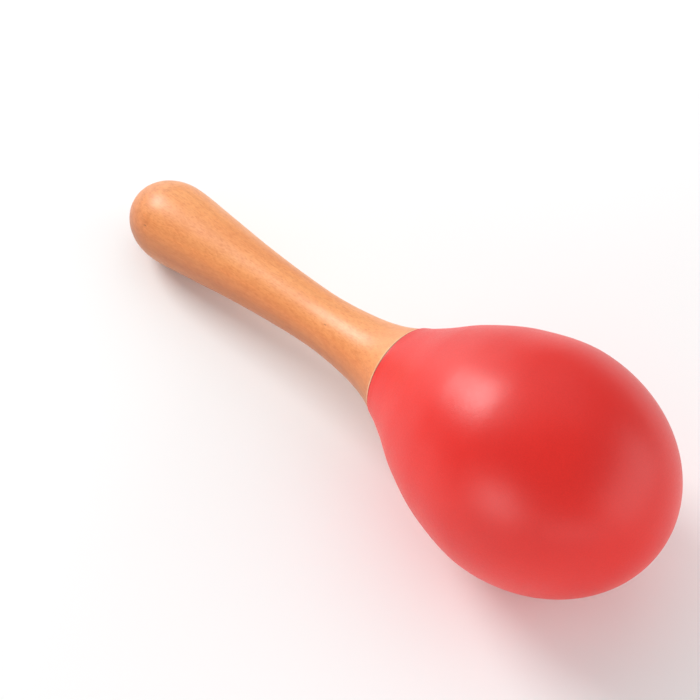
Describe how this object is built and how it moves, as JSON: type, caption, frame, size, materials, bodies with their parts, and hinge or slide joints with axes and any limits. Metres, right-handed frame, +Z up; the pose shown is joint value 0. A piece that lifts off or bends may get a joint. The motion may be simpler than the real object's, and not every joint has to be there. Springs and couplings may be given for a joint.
{
  "type": "maraca",
  "caption": "Shaken rattle: a hollow egg-shaped wooden head holding loose steel shot, glued to a turned wooden handle; it lies on its side.",
  "frame": {"origin": "on the surface the maraca lies on, under the middle of its bounding box", "axes": "+X from the handle's butt towards the head, +Z up, +Y to the left seen from the butt; the turned axis lies in the XZ plane and climbs 9.1 degrees towards the head"},
  "size_m": [0.198, 0.0696, 0.0698],
  "materials": {
    "handle_wood": "warm tan beech under clear satin lacquer",
    "head_lacquer": "red satin lacquer over wood, bare inside",
    "shot_steel": "plain polished steel balls"
  },
  "bodies": {
    "maraca": {"handle": "handle_wood", "neck_cup": "head_lacquer", "dome_cup": "head_lacquer"},
    "shot_01": {"shot_01": "shot_steel"},
    "shot_02": {"shot_02": "shot_steel"},
    "shot_03": {"shot_03": "shot_steel"},
    "shot_04": {"shot_04": "shot_steel"},
    "shot_05": {"shot_05": "shot_steel"},
    "shot_06": {"shot_06": "shot_steel"},
    "shot_07": {"shot_07": "shot_steel"},
    "shot_08": {"shot_08": "shot_steel"},
    "shot_09": {"shot_09": "shot_steel"},
    "shot_10": {"shot_10": "shot_steel"},
    "shot_11": {"shot_11": "shot_steel"},
    "shot_12": {"shot_12": "shot_steel"},
    "shot_13": {"shot_13": "shot_steel"},
    "shot_14": {"shot_14": "shot_steel"},
    "shot_15": {"shot_15": "shot_steel"},
    "shot_16": {"shot_16": "shot_steel"},
    "shot_17": {"shot_17": "shot_steel"},
    "shot_18": {"shot_18": "shot_steel"},
    "shot_19": {"shot_19": "shot_steel"},
    "shot_20": {"shot_20": "shot_steel"},
    "shot_21": {"shot_21": "shot_steel"},
    "shot_22": {"shot_22": "shot_steel"},
    "shot_23": {"shot_23": "shot_steel"},
    "shot_24": {"shot_24": "shot_steel"},
    "shot_25": {"shot_25": "shot_steel"},
    "shot_26": {"shot_26": "shot_steel"},
    "shot_27": {"shot_27": "shot_steel"},
    "shot_28": {"shot_28": "shot_steel"}
  },
  "joints": [
    {"name": "shot_01_flight", "type": "slide", "parent": "maraca", "child": "shot_01", "axis": [0, 0, 1], "range_m": [0, 0.0566]},
    {"name": "shot_02_flight", "type": "slide", "parent": "maraca", "child": "shot_02", "axis": [0, 0, 1], "range_m": [0, 0.0555]},
    {"name": "shot_03_flight", "type": "slide", "parent": "maraca", "child": "shot_03", "axis": [0, 0, 1], "range_m": [0, 0.0565]},
    {"name": "shot_04_flight", "type": "slide", "parent": "maraca", "child": "shot_04", "axis": [0, 0, 1], "range_m": [0, 0.0555]},
    {"name": "shot_05_flight", "type": "slide", "parent": "maraca", "child": "shot_05", "axis": [0, 0, 1], "range_m": [0, 0.0561]},
    {"name": "shot_06_flight", "type": "slide", "parent": "maraca", "child": "shot_06", "axis": [0, 0, 1], "range_m": [0, 0.0555]},
    {"name": "shot_07_flight", "type": "slide", "parent": "maraca", "child": "shot_07", "axis": [0, 0, 1], "range_m": [0, 0.0561]},
    {"name": "shot_08_flight", "type": "slide", "parent": "maraca", "child": "shot_08", "axis": [0, 0, 1], "range_m": [0, 0.0537]},
    {"name": "shot_09_flight", "type": "slide", "parent": "maraca", "child": "shot_09", "axis": [0, 0, 1], "range_m": [0, 0.0552]},
    {"name": "shot_10_flight", "type": "slide", "parent": "maraca", "child": "shot_10", "axis": [0, 0, 1], "range_m": [0, 0.0537]},
    {"name": "shot_11_flight", "type": "slide", "parent": "maraca", "child": "shot_11", "axis": [0, 0, 1], "range_m": [0, 0.0552]},
    {"name": "shot_12_flight", "type": "slide", "parent": "maraca", "child": "shot_12", "axis": [0, 0, 1], "range_m": [0, 0.0537]},
    {"name": "shot_13_flight", "type": "slide", "parent": "maraca", "child": "shot_13", "axis": [0, 0, 1], "range_m": [0, 0.0538]},
    {"name": "shot_14_flight", "type": "slide", "parent": "maraca", "child": "shot_14", "axis": [0, 0, 1], "range_m": [0, 0.0532]},
    {"name": "shot_15_flight", "type": "slide", "parent": "maraca", "child": "shot_15", "axis": [0, 0, 1], "range_m": [0, 0.0551]},
    {"name": "shot_16_flight", "type": "slide", "parent": "maraca", "child": "shot_16", "axis": [0, 0, 1], "range_m": [0, 0.0526]},
    {"name": "shot_17_flight", "type": "slide", "parent": "maraca", "child": "shot_17", "axis": [0, 0, 1], "range_m": [0, 0.0537]},
    {"name": "shot_18_flight", "type": "slide", "parent": "maraca", "child": "shot_18", "axis": [0, 0, 1], "range_m": [0, 0.0525]},
    {"name": "shot_19_flight", "type": "slide", "parent": "maraca", "child": "shot_19", "axis": [0, 0, 1], "range_m": [0, 0.0536]},
    {"name": "shot_20_flight", "type": "slide", "parent": "maraca", "child": "shot_20", "axis": [0, 0, 1], "range_m": [0, 0.051]},
    {"name": "shot_21_flight", "type": "slide", "parent": "maraca", "child": "shot_21", "axis": [0, 0, 1], "range_m": [0, 0.053]},
    {"name": "shot_22_flight", "type": "slide", "parent": "maraca", "child": "shot_22", "axis": [0, 0, 1], "range_m": [0, 0.051]},
    {"name": "shot_23_flight", "type": "slide", "parent": "maraca", "child": "shot_23", "axis": [0, 0, 1], "range_m": [0, 0.0531]},
    {"name": "shot_24_flight", "type": "slide", "parent": "maraca", "child": "shot_24", "axis": [0, 0, 1], "range_m": [0, 0.0495]},
    {"name": "shot_25_flight", "type": "slide", "parent": "maraca", "child": "shot_25", "axis": [0, 0, 1], "range_m": [0, 0.0502]},
    {"name": "shot_26_flight", "type": "slide", "parent": "maraca", "child": "shot_26", "axis": [0, 0, 1], "range_m": [0, 0.0496]},
    {"name": "shot_27_flight", "type": "slide", "parent": "maraca", "child": "shot_27", "axis": [0, 0, 1], "range_m": [0, 0.0502]},
    {"name": "shot_28_flight", "type": "slide", "parent": "maraca", "child": "shot_28", "axis": [0, 0, 1], "range_m": [0, 0.0501]}
  ]
}
